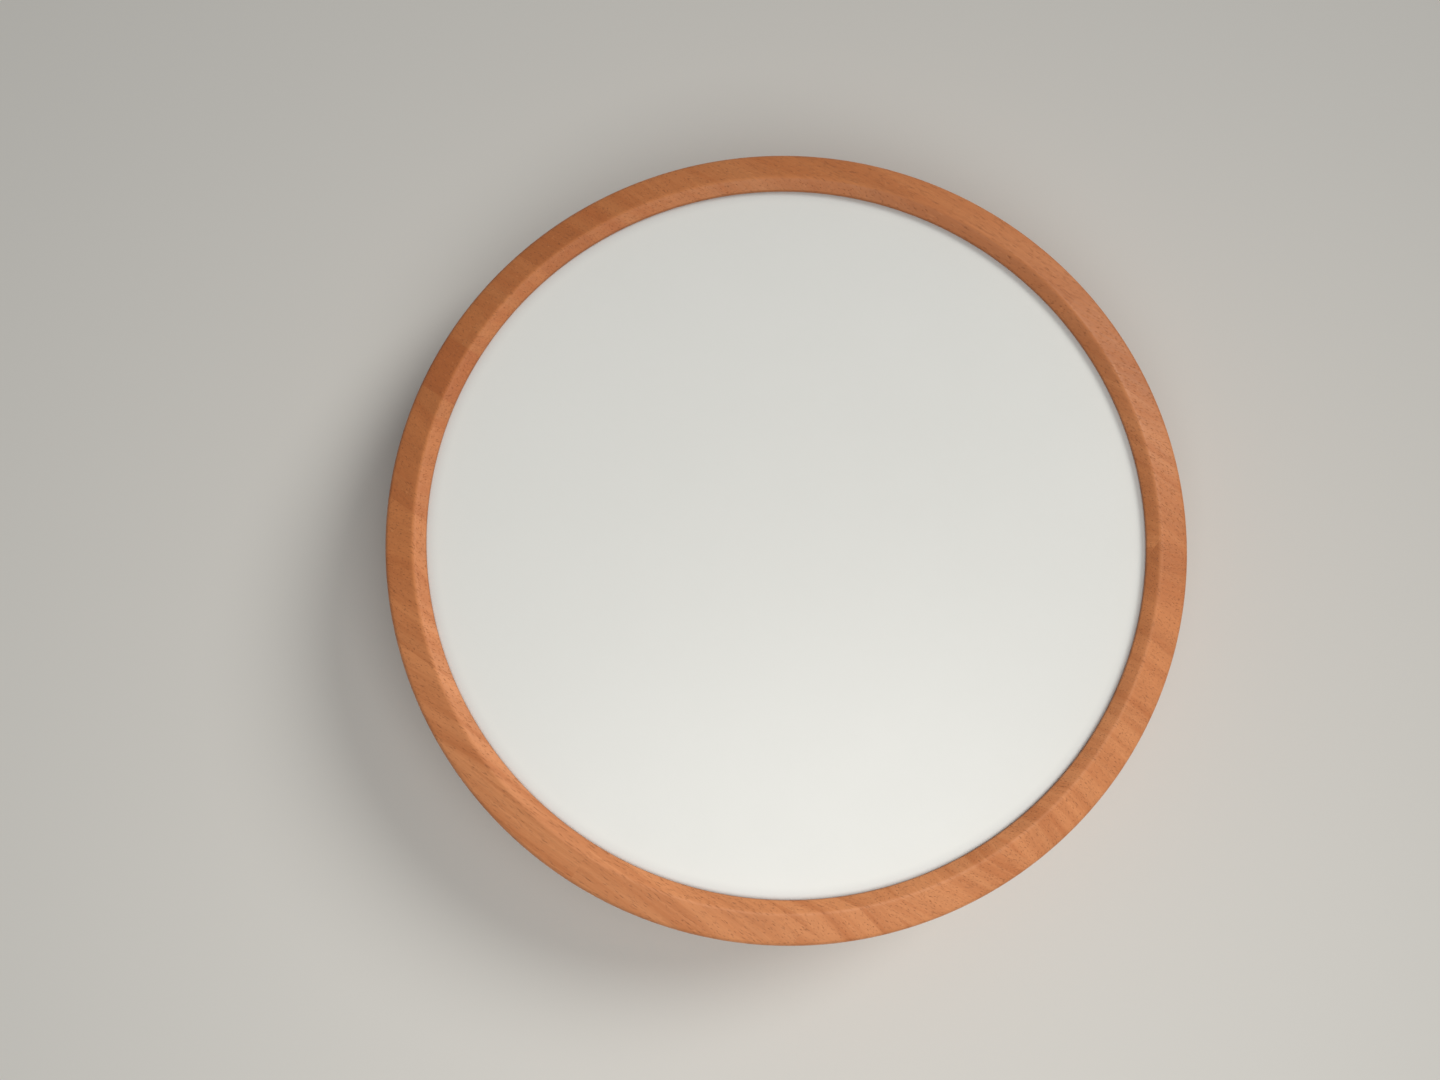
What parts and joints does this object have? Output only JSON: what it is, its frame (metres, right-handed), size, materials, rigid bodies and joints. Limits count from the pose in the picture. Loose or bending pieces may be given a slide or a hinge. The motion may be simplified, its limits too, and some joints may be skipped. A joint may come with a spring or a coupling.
{
  "type": "flush-mount ceiling lamp",
  "caption": "Flat round ceiling or wall lamp: a wooden ring with a bevelled lip carries an opal cover and twists onto a pressed steel pan.",
  "frame": {"origin": "centre of the back, in the plane of the foam seal that meets the ceiling or wall", "axes": "+Z out of the light's face, away from the ceiling or wall; X along the line of the two fixing slots; the cable entry is on the -Y side"},
  "size_m": [0.3, 0.3, 0.0518],
  "materials": {
    "oiled_wood": "satin",
    "opal_acrylic": "satin",
    "zinc_steel": "satin",
    "screw_steel": "satin",
    "white_powder_coat": "satin",
    "black_foam": "matte",
    "board_white": "satin",
    "led_phosphor": "gloss",
    "clear_lens": "gloss",
    "white_nylon": "satin",
    "white_case": "matte",
    "green_board": "satin",
    "transformer_tape": "satin",
    "capacitor_sleeve": "gloss",
    "ferrite": "matte",
    "brass": "satin",
    "black_rubber": "matte",
    "brown_insulation": "satin",
    "blue_insulation": "satin",
    "green_yellow_insulation": "satin",
    "red_insulation": "satin",
    "black_insulation": "satin"
  },
  "bodies": {
    "pan": {"base_pan": "white_powder_coat", "foam_seal": "black_foam", "cable_grommet": "black_rubber", "led_board": "board_white", "led_chips": "led_phosphor", "led_lenses": "clear_lens", "led_board_screws": "screw_steel", "led_connector": "white_nylon", "driver_case_base": "white_case", "driver_case_lid": "white_case", "driver_board": "green_board", "driver_transformer": "transformer_tape", "driver_capacitors": "capacitor_sleeve", "driver_choke": "ferrite", "driver_screws": "screw_steel", "terminal_block": "white_nylon", "terminal_sleeves": "brass", "terminal_screws": "screw_steel", "terminal_block_screws": "screw_steel", "cable_clamp": "white_nylon", "cable_clamp_screws": "screw_steel", "earth_screw": "screw_steel", "earth_washer": "zinc_steel", "earth_tag": "brass", "live_wire": "brown_insulation", "neutral_wire": "blue_insulation", "earth_wire": "green_yellow_insulation", "led_lead_plus": "red_insulation", "led_lead_minus": "black_insulation"},
    "cover": {"wood_ring": "oiled_wood", "diffuser": "opal_acrylic", "diffuser_clips": "zinc_steel", "diffuser_clip_screws": "screw_steel", "bayonet_tabs": "zinc_steel", "bayonet_tab_screws": "screw_steel"}
  },
  "joints": [
    {"name": "cover_twist", "type": "hinge", "parent": "pan", "child": "cover", "pos_m": [0, 0, 0], "axis": [0, 0, 1], "range_deg": [0, 14]}
  ]
}
